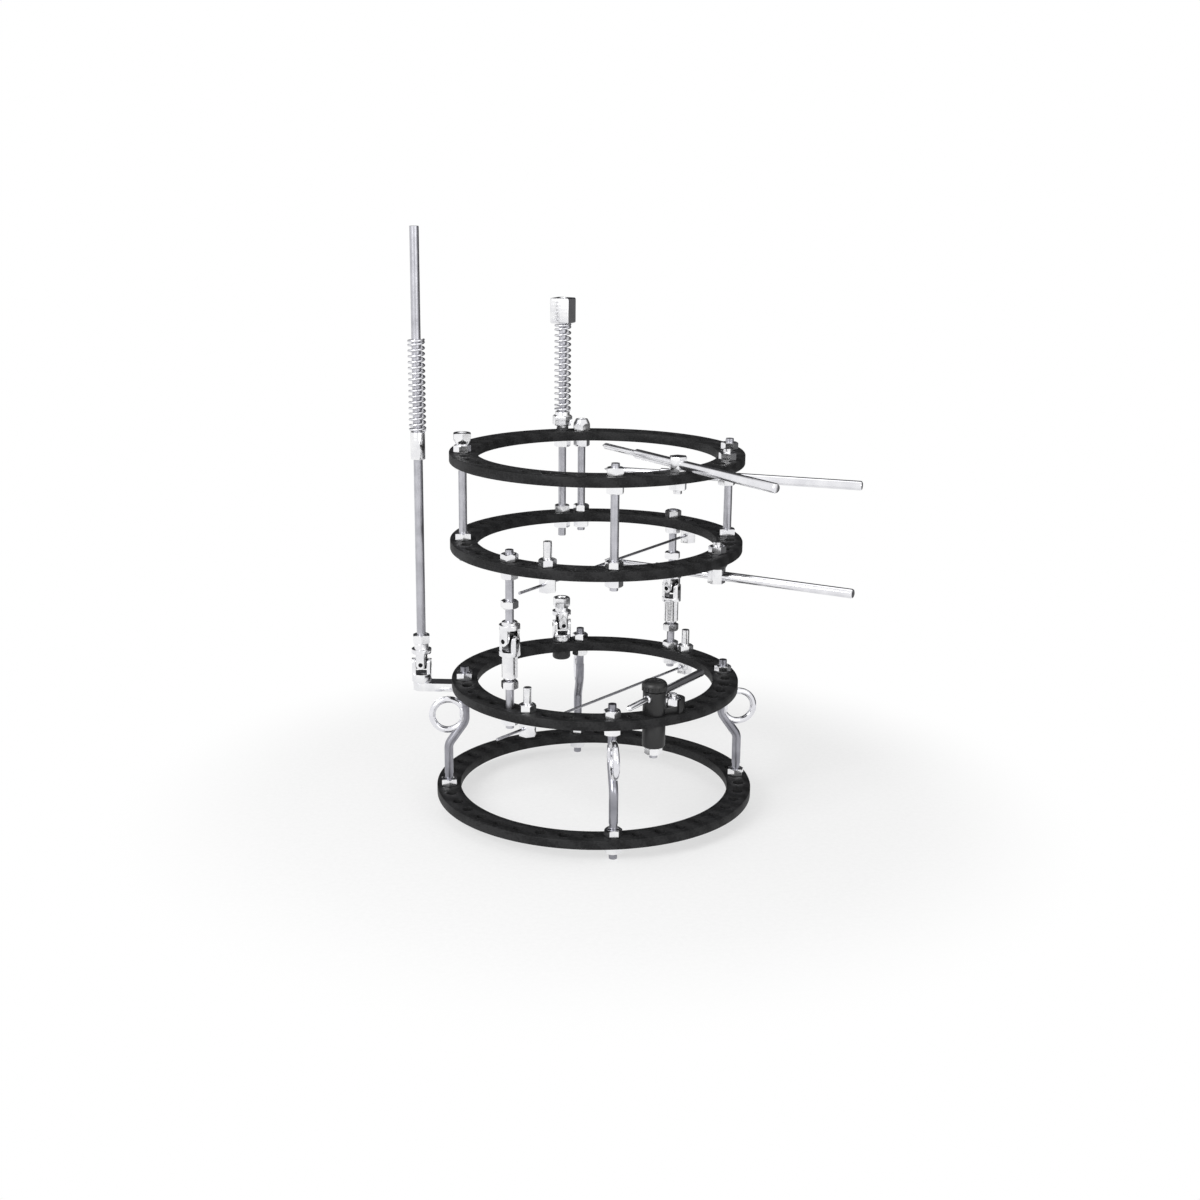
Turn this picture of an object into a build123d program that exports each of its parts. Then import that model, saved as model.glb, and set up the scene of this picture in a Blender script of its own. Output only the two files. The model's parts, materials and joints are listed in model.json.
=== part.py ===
from build123d import *
from math import cos, radians, sin, sqrt
import os

os.makedirs("parts", exist_ok=True)

# Circular external fixator. The origin is the centre of the base ring's underside, +Z is up the limb.
# Rings from the top down: A and B are the upper block, C and D (the wide base ring) the lower block.

# Rings
ring_thick = 6.3
ring_inner_r = 80.0
ring_width = 17.4
base_ring_inner_r = 91.9
base_ring_width = 16.3
hole_count = 40
hole_r = 3.5
ring_edge = 0.6
base_ring_foot = 0.0
lower_block_gap = 69.2
upper_block_gap = 52.2

# Threaded rod, nuts and fits
rod_r = 3.0
rod_bevel = 0.6
thread_clear = 0.05
pivot_clear = 0.05
side_gap = 0.3
overrun = 1.0
nut_flats = 10.0
nut_height = 5.0
stud_proud = 2.5
nut_bevel_share = 0.96
cone_nut_flats = 11.2
cone_nut_height = 8.0
cone_nut_foot_r = 4.2
cone_nut_edge = 0.5
rod_sunk = 0.5

# Hole numbers, counted anticlockwise from +X
side_hole_numbers = {"right": 0, "back": 10, "left": 20, "front": 30}
hinge_hole_numbers = {"back_right": 5, "front_left": 25}
spring_rod_hole_number = 11
wire_b_hole_numbers = (27, 4)
wire_c_hole_numbers = (26, 4)
pin_a1_hole_number = 33
pin_a2_hole_number = 37
pin_b_hole_number = 36
clamp_hole_number = 32
clamp_foot_hole_number = 33
strut_hole_number = 19

# Offset rods between rings C and D
bend_above_ring = 29.7
bend_rise = 16.0
bend_r = 9.0
offset_rod_proud = 4.0
offset_rod_drop = 4.0
eye_inner_r = 8.5
eye_band = 4.5
eye_thick = 5.0
eye_round = 1.6
eye_drop = 18.5

# Universal joints: two forks at right angles on one cross
fork_r = 6.75
ear_half = 3.2
ear_thick = 2.95
fork_reach = 7.2
trunnion_r = 1.5
trunnion_inset = 0.2
hinge_stud_show = 13.0
hinge_rod_show = 32.7
hinge_socket = 5.0
hinge_body_r = 5.1
hinge_body_length = 20.0
hinge_nose = 2.5
fork_edge = 0.5
fork_bridge = 2.9
hinge_stud_grip = 8.0
hinge_rod_grip = 4.0
hinge_lock_rise = 8.7
hinge_rod_proud = {"back_right": 0.6, "front_left": 2.5}

# Spring rod through rings A and B
spring_rod_drop = 6.0
collar_flats = 12.5
collar_height = 7.0
collar_neck_r = 4.2
collar_neck = 4.0
collar_spigot = 2.5
cap_width = 14.0
cap_height = 17.5
cap_rod_grip = 10.0
cap_turn = 51.0
cap_bevel = 0.8
spring_wire_r = 0.85
spring_mean_r = 5.1
spring_length = 61.6
spring_turns = 16
spring_rest_gap = 0.1

# Back joint unit on ring C
back_base = 5.5
back_screw_head_r = 6.5
back_screw_head = 7.0
back_screw_round = 2.0
back_crown_flats = 11.0
back_crown = 7.0
back_neck_r = 4.6
back_neck = 6.0
back_bore_depth = 12.0

# Strut: a tall rod on a universal joint beside ring C
strut_reach = 29.8
bar_width = 12.0
bar_thick = 5.6
strut_base = 6.0
strut_rod_r = 3.3
strut_neck_r = 4.8
strut_neck = 7.0
strut_grip = 6.0
strut_thread = 120.6
strut_free_end = 71.4
strut_nut_flats = 11.0
strut_nut_height = 6.0
sleeve_height = 18.0
sleeve_r = 4.75
set_screw_r = 1.5
set_screw_inset = 0.6
strut_spring_length = 61.0
strut_spring_turns = 17
strut_spring_mean_r = 4.9
button_head_r = 5.0
button_head = 2.6

# Wires and their bolts
wire_r = 0.9
wire_clear = 0.05
wire_drop = 4.6
wire_bolt_proud = 16.0
grip_flats = 10.0
grip_height = 9.6
wire_tail = 30.0
wire_far_tail = 8.0

# Half pins and their grip bolts
pin_r = 3.0
pin_tip_r = 2.4
pin_tip_length = 38.0
pin_point = 4.0
pin_end_bevel = 1.2
pin_clear = 0.05
pin_outer_r = 182.0
pin_a2_outer_r = 176.0
pin_a2_turn = 2.4
pin_inner_r = 6.0
pin_seat = 4.7
washer_r = 7.5
washer_tip_r = 5.6
washer_height = 3.5

# Black pin clamp on ring C
clamp_pin_r = 2.6
clamp_pin_tip_r = 2.3
clamp_pin_turn = 50.0
clamp_pin_height = 12.0
clamp_pin_thread_side = 34.0
clamp_pin_shank_side = 61.0
clamp_pin_tip_length = 24.0
clamp_post_r = 7.4
clamp_post_height = 15.9
clamp_neck_r = 5.0
clamp_neck = 3.4
clamp_edge = 0.8
clamp_foot_thick = 4.0
clamp_foot_r = 5.8
clamp_lip_inner_r = 6.2
clamp_lip_r = 7.8
clamp_lip_rise = 4.8
clamp_bolt_gap = 0.6
clamp_lower_height = 15.4
knob_r = 8.2
knob_height = 6.2
knob_dome = 3.5
knob_gap = 0.3
knob_stud_r = 2.0
knob_flute_r = 1.3
knob_flutes = 12

# Places worked out from the sizes above
bolt_r = ring_inner_r + ring_width / 2
base_bolt_r = base_ring_inner_r + base_ring_width / 2
base_ring_top = base_ring_foot + ring_thick
ring_c_foot = base_ring_top + lower_block_gap
ring_c_top = ring_c_foot + ring_thick
hinge_height = ring_c_top + nut_height + hinge_stud_show + hinge_body_length + fork_reach
hinge_fork_top = hinge_height + fork_reach + hinge_socket
ring_b_foot = hinge_fork_top + hinge_rod_show
ring_b_top = ring_b_foot + ring_thick
ring_a_foot = ring_b_top + upper_block_gap
ring_a_top = ring_a_foot + ring_thick
bend_foot = base_ring_top + bend_above_ring
bend_top = bend_foot + bend_rise
eye_height = ring_c_foot - eye_drop
ear_inner = fork_r - ear_thick
cross_half = ear_inner - side_gap
bore_r = rod_r + thread_clear


def hole_angle(number):
    return number * 360 / hole_count


def station(radius, angle, height):
    """Upright plane at a polar place: x points away from the ring axis, z up."""
    turn = radians(angle)
    across = (cos(turn), sin(turn), 0)
    return Plane(origin=(radius * cos(turn), radius * sin(turn), height), x_dir=across, z_dir=(0, 0, 1))


def at_hole(number, height):
    return station(bolt_r, hole_angle(number), height)


def flipped(seat):
    return Plane(origin=seat.origin, x_dir=seat.x_dir, z_dir=-seat.z_dir)


def quarter_turned(seat):
    return Plane(origin=seat.origin, x_dir=seat.y_dir, z_dir=seat.z_dir)


def upright(seat):
    """Plane through the seat's axis: local x is the seat's x, local y runs along its axis."""
    return Plane(origin=seat.origin, x_dir=seat.x_dir, z_dir=seat.x_dir.cross(seat.z_dir))


def save(piece, name):
    piece.part.label = name
    export_step(piece.part, f"parts/{name}.step")


def turned(seat, outline):
    """Solid of revolution about the seat's axis from (radius, height) points."""
    with BuildPart() as piece:
        with BuildSketch(upright(seat)):
            with BuildLine():
                Polyline(*outline, close=True)
            make_face()
        revolve(axis=Axis(seat.origin, seat.z_dir))
    return piece


def round_bar(seat, radius, length, bevel=rod_bevel):
    outline = [(0, 0), (radius - bevel, 0), (radius, bevel),
               (radius, length - bevel), (radius - bevel, length), (0, length)]
    return turned(seat, outline)


def hex_nut(seat, flats=nut_flats, height=nut_height, bore=bore_r):
    """Nut that stands on the seat, its corners turned off at both faces."""
    corner_r = flats / sqrt(3)
    face_r = flats / 2 * nut_bevel_share
    bevel = (corner_r - face_r) / 2
    with BuildPart() as nut:
        with BuildSketch(seat):
            RegularPolygon(radius=flats / 2, side_count=6, major_radius=False)
        extrude(amount=height)
        with BuildSketch(upright(seat)):
            with BuildLine():
                Polyline((0, 0), (face_r, 0), (corner_r, bevel), (corner_r, height - bevel),
                         (face_r, height), (0, height), close=True)
            make_face()
        revolve(axis=Axis(seat.origin, seat.z_dir), mode=Mode.INTERSECT)
        with BuildSketch(seat.offset(-overrun)):
            Circle(bore)
        extrude(amount=height + 2 * overrun, mode=Mode.SUBTRACT)
    return nut


def cone_nut(seat):
    """Taller nut that narrows to a cone at the seat."""
    corner_r = cone_nut_flats / sqrt(3)
    rise = corner_r - cone_nut_foot_r
    with BuildPart() as nut:
        with BuildSketch(seat):
            RegularPolygon(radius=cone_nut_flats / 2, side_count=6, major_radius=False)
        extrude(amount=cone_nut_height)
        with BuildSketch(upright(seat)):
            with BuildLine():
                Polyline((0, 0), (cone_nut_foot_r, 0), (corner_r, 2 * rise),
                         (corner_r, cone_nut_height - cone_nut_edge),
                         (corner_r - 2 * cone_nut_edge, cone_nut_height), (0, cone_nut_height), close=True)
            make_face()
        revolve(axis=Axis(seat.origin, seat.z_dir), mode=Mode.INTERSECT)
        with BuildSketch(seat.offset(-overrun)):
            Circle(bore_r)
        extrude(amount=cone_nut_height + 2 * overrun, mode=Mode.SUBTRACT)
    return nut


def group(pieces):
    parts = [piece.part for piece in pieces]
    with BuildPart() as together:
        add(parts)
    return together


def ring(foot, inner_r, width):
    outer_r = inner_r + width
    with BuildPart() as plate:
        with BuildSketch(Plane.XY.offset(foot)):
            Circle(outer_r)
            Circle(inner_r, mode=Mode.SUBTRACT)
            with PolarLocations(inner_r + width / 2, hole_count):
                Circle(hole_r, mode=Mode.SUBTRACT)
        extrude(amount=ring_thick)
        rims = plate.edges().filter_by(GeomType.CIRCLE).filter_by(lambda edge: edge.radius >= inner_r)
        chamfer(rims, length=ring_edge)
    return plate


def fork(pivot, base_r, base_length, bore_depth=0, bore=bore_r, nose=fork_edge):
    """Fork of a universal joint. The pivot's x is its pin axis and its z points to the fork's base."""
    pin_plane = Plane(origin=pivot.origin, x_dir=pivot.y_dir, z_dir=pivot.x_dir)
    base_end = fork_reach + base_length
    with BuildPart() as body:
        with BuildSketch(pin_plane):
            Circle(ear_half)
            with Locations((0, fork_reach / 2)):
                Rectangle(2 * ear_half, fork_reach)
        extrude(amount=fork_r + overrun, both=True)
        with BuildSketch(pivot.offset(-fork_r)):
            Circle(fork_r)
        extrude(amount=fork_r + fork_reach + overrun, mode=Mode.INTERSECT)
        with BuildSketch(pivot.offset(-fork_r - overrun)):
            Rectangle(2 * ear_inner, 2 * fork_r)
        extrude(amount=fork_r + overrun + fork_reach, mode=Mode.SUBTRACT)
        with BuildSketch(pivot.offset(fork_reach)):
            Circle(fork_r)
        extrude(amount=fork_bridge)
        with BuildSketch(upright(pivot)):
            with BuildLine():
                Polyline((0, fork_reach), (base_r, fork_reach), (base_r, base_end - nose),
                         (base_r - nose, base_end), (0, base_end), close=True)
            make_face()
        revolve(axis=Axis(pivot.origin, pivot.z_dir))
        with BuildSketch(pin_plane):
            Circle(trunnion_r + pivot_clear)
        extrude(amount=fork_r + overrun, both=True, mode=Mode.SUBTRACT)
        if bore_depth:
            with BuildSketch(pivot.offset(base_end - bore_depth)):
                Circle(bore)
            extrude(amount=bore_depth + overrun, mode=Mode.SUBTRACT)
    return body


def cross(pivot):
    """Centre block with four trunnions, two along the pivot's x and two along its y."""
    span = 2 * (fork_r - trunnion_inset)
    with BuildPart(pivot) as block:
        Box(2 * cross_half, 2 * cross_half, 2 * cross_half)
        Cylinder(radius=trunnion_r, height=span, rotation=(0, 90, 0))
        Cylinder(radius=trunnion_r, height=span, rotation=(90, 0, 0))
    return block


def coil(seat, mean_r, length, turns):
    """Helical spring that stands on the seat, one wire radius inside each end."""
    travel = length - 2 * spring_wire_r
    start = seat.offset(spring_wire_r)
    path = Helix(pitch=travel / turns, height=travel, radius=mean_r,
                 center=start.origin, direction=start.z_dir)
    with BuildPart() as spring:
        with BuildSketch(Plane(origin=path @ 0, z_dir=path % 0)):
            Circle(spring_wire_r)
        sweep(path=path, is_frenet=True)
    return spring


def grip_bolt(seat, hole, seat_height, run, shank):
    """Bolt with a tall hexagon head. The seat is the head's top face, z towards the shank."""
    across = Plane(origin=seat.origin - seat.z_dir * seat_height, x_dir=seat.z_dir, z_dir=run)
    with BuildPart() as bolt:
        with BuildSketch(Plane(origin=seat.origin, x_dir=run, z_dir=-seat.z_dir)):
            RegularPolygon(radius=grip_flats / 2, side_count=6, major_radius=False, rotation=30)
        extrude(amount=grip_height)
        with BuildSketch(seat):
            Circle(rod_r)
        extrude(amount=shank)
        with BuildSketch(across):
            Circle(hole)
        extrude(amount=grip_flats, both=True, mode=Mode.SUBTRACT)
    return bolt


# The four rings
save(ring(ring_a_foot, ring_inner_r, ring_width), "ring_a")
save(ring(ring_b_foot, ring_inner_r, ring_width), "ring_b")
save(ring(ring_c_foot, ring_inner_r, ring_width), "ring_c")
save(ring(base_ring_foot, base_ring_inner_r, base_ring_width), "base_ring")

ring_a_nuts = []
ring_b_nuts = []
ring_c_nuts = []
base_ring_nuts = []

# Connecting rods between rings A and B. The left one has a coned nut, cone down, on its top nut,
# and the back one has a coned nut, cone up, in place of it.
for side, number in side_hole_numbers.items():
    rod_foot = ring_b_foot - nut_height - stud_proud
    rod_head = ring_a_top + nut_height + stud_proud
    if side == "left":
        ring_a_nuts.append(cone_nut(at_hole(number, ring_a_top + nut_height)))
        rod_head = ring_a_top + nut_height + cone_nut_height - rod_sunk
    if side == "back":
        ring_a_nuts.append(cone_nut(flipped(at_hole(number, ring_a_top + cone_nut_height))))
        rod_head = ring_a_top + cone_nut_height - rod_sunk
    else:
        ring_a_nuts.append(hex_nut(at_hole(number, ring_a_top)))
    save(round_bar(at_hole(number, rod_foot), rod_r, rod_head - rod_foot), f"connecting_rod_{side}")
    ring_a_nuts.append(hex_nut(at_hole(number, ring_a_foot - nut_height)))
    ring_b_nuts.append(hex_nut(at_hole(number, ring_b_top)))
    ring_b_nuts.append(hex_nut(at_hole(number, ring_b_foot - nut_height)))


# Offset rods from ring C out to the wide base ring, each with a welded eye
def offset_rod(number):
    spoke = upright(station(0, hole_angle(number), 0))
    rod_top = ring_c_top + nut_height + offset_rod_proud
    rod_end = base_ring_foot - nut_height - offset_rod_drop
    eye_centre_r = bolt_r + rod_r + eye_inner_r
    with BuildPart() as eye:
        with BuildSketch(spoke.offset(-eye_thick / 2)):
            with Locations((eye_centre_r, eye_height)):
                Circle(eye_inner_r + eye_band)
                Circle(eye_inner_r, mode=Mode.SUBTRACT)
        extrude(amount=eye_thick)
        fillet(eye.edges().filter_by(GeomType.CIRCLE), radius=eye_round)
    with BuildPart() as rod:
        with BuildLine(spoke) as path:
            FilletPolyline((bolt_r, rod_top), (bolt_r, bend_top), (base_bolt_r, bend_foot),
                           (base_bolt_r, rod_end), radius=bend_r)
        with BuildSketch(flipped(at_hole(number, rod_top))):
            Circle(rod_r)
        sweep(path=path.line)
        ends = rod.edges().filter_by(GeomType.CIRCLE).sort_by(Axis.Z)
        chamfer([ends[0], ends[-1]], length=rod_bevel)
        add(eye.part)
    return rod


for side, number in side_hole_numbers.items():
    save(offset_rod(number), f"offset_rod_{side}")
    below = hole_angle(number)
    ring_c_nuts.append(hex_nut(at_hole(number, ring_c_top)))
    ring_c_nuts.append(hex_nut(at_hole(number, ring_c_foot - nut_height)))
    base_ring_nuts.append(hex_nut(station(base_bolt_r, below, base_ring_top)))
    base_ring_nuts.append(hex_nut(station(base_bolt_r, below, base_ring_foot - nut_height)))

# Hinges between the upper and the lower block, opposite each other on one line
hinge_lock_nuts = []
for side, number in hinge_hole_numbers.items():
    pivot = at_hole(number, hinge_height)
    stud_end = ring_c_foot - nut_height - stud_proud
    body_foot = hinge_height - fork_reach - hinge_body_length
    stud_length = body_foot + hinge_stud_grip - stud_end
    rod_foot = hinge_fork_top - hinge_rod_grip
    rod_head = ring_b_top + nut_height + hinge_rod_proud[side]
    upper = fork(pivot, hinge_body_r, hinge_socket, hinge_rod_grip)
    lower = fork(flipped(quarter_turned(pivot)), hinge_body_r, hinge_body_length, hinge_stud_grip,
                 nose=hinge_nose)
    save(upper, f"hinge_upper_fork_{side}")
    save(lower, f"hinge_lower_fork_{side}")
    save(cross(pivot), f"hinge_cross_{side}")
    save(round_bar(at_hole(number, stud_end), rod_r, stud_length), f"hinge_stud_{side}")
    save(round_bar(at_hole(number, rod_foot), rod_r, rod_head - rod_foot), f"hinge_rod_{side}")
    hinge_lock_nuts.append(hex_nut(at_hole(number, hinge_fork_top + hinge_lock_rise)))
    ring_b_nuts.append(hex_nut(at_hole(number, ring_b_top)))
    ring_b_nuts.append(hex_nut(at_hole(number, ring_b_foot - nut_height)))
    ring_c_nuts.append(hex_nut(at_hole(number, ring_c_foot - nut_height)))
    ring_c_nuts.append(hex_nut(at_hole(number, body_foot - nut_height)))
ring_c_nuts.append(hex_nut(at_hole(hinge_hole_numbers["back_right"], ring_c_top)))
save(group(hinge_lock_nuts), "hinge_lock_nuts")

# Spring rod at the back: rod, hexagon collar on ring A, spring and square cap
collar_top = collar_neck + collar_height
spring_foot = ring_a_top + collar_top + collar_spigot + spring_rest_gap
cap_foot = spring_foot + spring_length + spring_rest_gap
spring_rod_top = cap_foot + cap_rod_grip
spring_rod_foot = ring_b_foot - nut_height - spring_rod_drop
save(round_bar(at_hole(spring_rod_hole_number, spring_rod_foot), rod_r, spring_rod_top - spring_rod_foot),
     "spring_rod")
for foot in (ring_b_top, ring_b_foot - nut_height):
    ring_b_nuts.append(hex_nut(at_hole(spring_rod_hole_number, foot)))
ring_a_nuts.append(hex_nut(at_hole(spring_rod_hole_number, ring_a_foot - nut_height)))

collar_seat = at_hole(spring_rod_hole_number, ring_a_top)
collar_hexagon = hex_nut(collar_seat.offset(collar_neck), collar_flats, collar_height)
with BuildPart() as spring_collar:
    add(collar_hexagon.part)
    with BuildSketch(collar_seat):
        Circle(collar_neck_r)
        Circle(bore_r, mode=Mode.SUBTRACT)
    extrude(amount=collar_neck)
    with BuildSketch(collar_seat.offset(collar_top)):
        Circle(spring_mean_r)
        Circle(bore_r, mode=Mode.SUBTRACT)
    extrude(amount=collar_spigot)
save(spring_collar, "spring_collar")

spring_seat = at_hole(spring_rod_hole_number, spring_foot)
save(coil(spring_seat, spring_mean_r, spring_length, spring_turns), "cap_spring")

cap_seat = at_hole(spring_rod_hole_number, cap_foot)
with BuildPart() as spring_cap:
    with BuildSketch(cap_seat):
        Rectangle(cap_width, cap_width, rotation=cap_turn)
    extrude(amount=cap_height)
    chamfer(spring_cap.edges(), length=cap_bevel)
    with BuildSketch(cap_seat.offset(-overrun)):
        Circle(rod_r + pivot_clear)
    extrude(amount=cap_height + 2 * overrun, mode=Mode.SUBTRACT)
save(spring_cap, "spring_cap")

# Universal joint unit at the back of ring C, held from below by a black cap screw
back_pivot = at_hole(spring_rod_hole_number, ring_c_top + back_base + fork_reach)
back_lower = fork(flipped(quarter_turned(back_pivot)), fork_r, back_base, back_base)
save(back_lower, "back_joint_lower_fork")
save(cross(back_pivot), "back_joint_cross")
back_top = fork_reach + back_neck + back_crown
back_body = fork(back_pivot, back_neck_r, back_neck)
back_hexagon = hex_nut(back_pivot.offset(fork_reach + back_neck), back_crown_flats, back_crown)
with BuildPart() as back_joint_upper_fork:
    add(back_body.part)
    add(back_hexagon.part)
    with BuildSketch(back_pivot.offset(back_top - back_bore_depth)):
        Circle(bore_r)
    extrude(amount=back_bore_depth, mode=Mode.SUBTRACT)
save(back_joint_upper_fork, "back_joint_upper_fork")
screw_seat = at_hole(spring_rod_hole_number, ring_c_foot - back_screw_head)
with BuildPart() as back_joint_screw:
    with BuildSketch(screw_seat):
        Circle(back_screw_head_r)
    extrude(amount=back_screw_head)
    fillet(back_joint_screw.edges().sort_by(Axis.Z)[0], radius=back_screw_round)
    with BuildSketch(at_hole(spring_rod_hole_number, ring_c_foot)):
        Circle(rod_r)
    extrude(amount=ring_thick + back_base)
save(back_joint_screw, "back_joint_screw")

# Strut: bar under ring C, universal joint, tall rod with nut, sleeve and loose spring
strut_angle = hole_angle(strut_hole_number)
strut_r = bolt_r + strut_reach
bar_foot = ring_c_foot - bar_thick
with BuildPart() as strut_bar:
    with BuildSketch(station(bolt_r + strut_reach / 2, strut_angle, bar_foot)):
        SlotCenterToCenter(strut_reach, bar_width)
        with Locations((-strut_reach / 2, 0), (strut_reach / 2, 0)):
            Circle(bore_r, mode=Mode.SUBTRACT)
    extrude(amount=bar_thick)
save(strut_bar, "strut_bar")

strut_pivot = station(strut_r, strut_angle, ring_c_foot + strut_base + fork_reach)
strut_body = fork(flipped(strut_pivot), fork_r, strut_base)
with BuildPart() as strut_lower_fork:
    add(strut_body.part)
    with BuildSketch(station(strut_r, strut_angle, bar_foot)):
        Circle(rod_r)
    extrude(amount=bar_thick + strut_base)
save(strut_lower_fork, "strut_lower_fork")
save(cross(strut_pivot), "strut_cross")
save(fork(quarter_turned(strut_pivot), strut_neck_r, strut_neck, strut_grip, strut_rod_r + thread_clear),
     "strut_upper_fork")
strut_fork_top = strut_pivot.origin.Z + fork_reach + strut_neck
strut_rod_foot = strut_fork_top - strut_grip
sleeve_foot = strut_fork_top + strut_nut_height + strut_thread
strut_spring_foot = sleeve_foot + sleeve_height + spring_rest_gap
strut_top = strut_spring_foot + strut_spring_length + strut_free_end
save(round_bar(station(strut_r, strut_angle, strut_rod_foot), strut_rod_r, strut_top - strut_rod_foot),
     "strut_rod")
save(hex_nut(station(strut_r, strut_angle, strut_fork_top), strut_nut_flats, strut_nut_height,
             strut_rod_r + thread_clear), "strut_lock_nut")

sleeve_seat = station(strut_r, strut_angle, sleeve_foot)
screw_axis = Plane(origin=sleeve_seat.origin + Vector(0, 0, sleeve_height / 2),
                   x_dir=(0, 0, 1), z_dir=-sleeve_seat.y_dir)
with BuildPart() as strut_sleeve:
    with BuildSketch(sleeve_seat):
        Circle(sleeve_r)
        Circle(strut_rod_r + thread_clear, mode=Mode.SUBTRACT)
    extrude(amount=sleeve_height)
    with BuildSketch(screw_axis):
        Circle(set_screw_r + thread_clear)
    extrude(amount=sleeve_r + overrun, mode=Mode.SUBTRACT)
save(strut_sleeve, "strut_sleeve")
screw_start = strut_rod_r + thread_clear
with BuildPart() as strut_set_screw:
    with BuildSketch(screw_axis.offset(screw_start)):
        Circle(set_screw_r)
    extrude(amount=sleeve_r - set_screw_inset - screw_start)
save(strut_set_screw, "strut_set_screw")
save(coil(station(strut_r, strut_angle, strut_spring_foot), strut_spring_mean_r, strut_spring_length,
          strut_spring_turns), "strut_spring")


# Low round-headed bolts: one through ring C and the bar, one through the clamp's foot
def button_bolt(seat, shank):
    """The seat is the shank's end, z towards the head."""
    top = shank + button_head
    outline = [(0, 0), (rod_r, 0), (rod_r, shank), (button_head_r, shank),
               (button_head_r, shank + button_head / 2), (rod_r, top), (0, top)]
    return turned(seat, outline)


bar_bolt_end = bar_foot - nut_height - stud_proud
bar_bolt = button_bolt(at_hole(strut_hole_number, bar_bolt_end), ring_c_top - bar_bolt_end)
ring_c_nuts.append(hex_nut(at_hole(strut_hole_number, bar_foot - nut_height)))
foot_top = ring_c_top + clamp_foot_thick
foot_bolt_end = foot_top + nut_height + stud_proud
foot_bolt_seat = flipped(at_hole(clamp_foot_hole_number, foot_bolt_end))
foot_bolt = button_bolt(foot_bolt_seat, foot_bolt_end - ring_c_foot)
ring_c_nuts.append(hex_nut(at_hole(clamp_foot_hole_number, foot_top)))
save(group([bar_bolt, foot_bolt]), "button_bolts")


# Wires across rings B and C, each held in the heads of two bolts under the ring
def wire_set(holes, foot, shanks):
    near = at_hole(holes[0], foot)
    far = at_hole(holes[1], foot)
    run = (far.origin - near.origin).normalized()
    span = (far.origin - near.origin).length
    start = near.origin - Vector(0, 0, wire_drop) - run * wire_tail
    wire = round_bar(Plane(origin=start, x_dir=(0, 0, 1), z_dir=run), wire_r,
                     span + wire_tail + wire_far_tail, wire_r / 3)
    bolts = [grip_bolt(end, wire_r + wire_clear, wire_drop, run, shank)
             for end, shank in zip((near, far), shanks)]
    return wire, bolts


# The far bolt of ring B ends flush with the ring and has no nut
long_shank = ring_thick + wire_bolt_proud
wire_b, wire_bolts_b = wire_set(wire_b_hole_numbers, ring_b_foot, (long_shank, ring_thick))
wire_c, wire_bolts_c = wire_set(wire_c_hole_numbers, ring_c_foot, (long_shank, long_shank))
save(wire_b, "wire_b")
save(wire_c, "wire_c")
save(group(wire_bolts_b), "wire_bolts_b")
save(group(wire_bolts_c), "wire_bolts_c")
ring_b_nuts.append(hex_nut(at_hole(wire_b_hole_numbers[0], ring_b_top)))
ring_c_nuts += [hex_nut(at_hole(number, ring_c_top)) for number in wire_c_hole_numbers]


# Half pins on rings A and B
def half_pin(middle, run, inward, outward, radius, tip_r, tip_length):
    """Pin through a middle point: threaded point inwards, plain shank outwards."""
    length = inward + outward
    seat = Plane(origin=middle - run * inward, x_dir=(0, 0, 1), z_dir=run)
    outline = [(0, 0), (tip_r, pin_point), (tip_r, tip_length), (radius, tip_length + radius - tip_r),
               (radius, length - pin_end_bevel), (radius - pin_end_bevel, length), (0, length)]
    return turned(seat, outline)


pin_grips = []
pin_places = {"a1": (pin_a1_hole_number, ring_a_top, 1, 0, 0, pin_outer_r),
              "a2": (pin_a2_hole_number, ring_a_foot, -1, pin_a2_turn, 0, pin_a2_outer_r),
              "b": (pin_b_hole_number, ring_b_foot, -1, 0, washer_height, pin_outer_r)}
for name, (number, face, way, turn, packing, outer_r) in pin_places.items():
    seat = at_hole(number, face + way * packing)
    head_seat = seat if way < 0 else flipped(seat)
    run = station(0, hole_angle(number) + turn, 0).x_dir
    middle = seat.origin + seat.z_dir * way * pin_seat
    pin = half_pin(middle, run, bolt_r - pin_inner_r, outer_r - bolt_r, pin_r, pin_tip_r, pin_tip_length)
    save(pin, f"half_pin_{name}")
    shank = packing + ring_thick + nut_height + stud_proud
    pin_grips.append(grip_bolt(head_seat, pin_r + pin_clear, pin_seat, run, shank))
ring_a_nuts.append(hex_nut(at_hole(pin_a1_hole_number, ring_a_foot - nut_height)))
ring_a_nuts.append(hex_nut(at_hole(pin_a2_hole_number, ring_a_top)))
ring_b_nuts.append(hex_nut(at_hole(pin_b_hole_number, ring_b_top)))
save(group(pin_grips), "pin_grip_bolts")
save(turned(at_hole(pin_b_hole_number, ring_b_foot - washer_height),
            [(bore_r, 0), (washer_tip_r, 0), (washer_r, washer_height), (bore_r, washer_height)]),
     "pin_washer")

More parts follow.
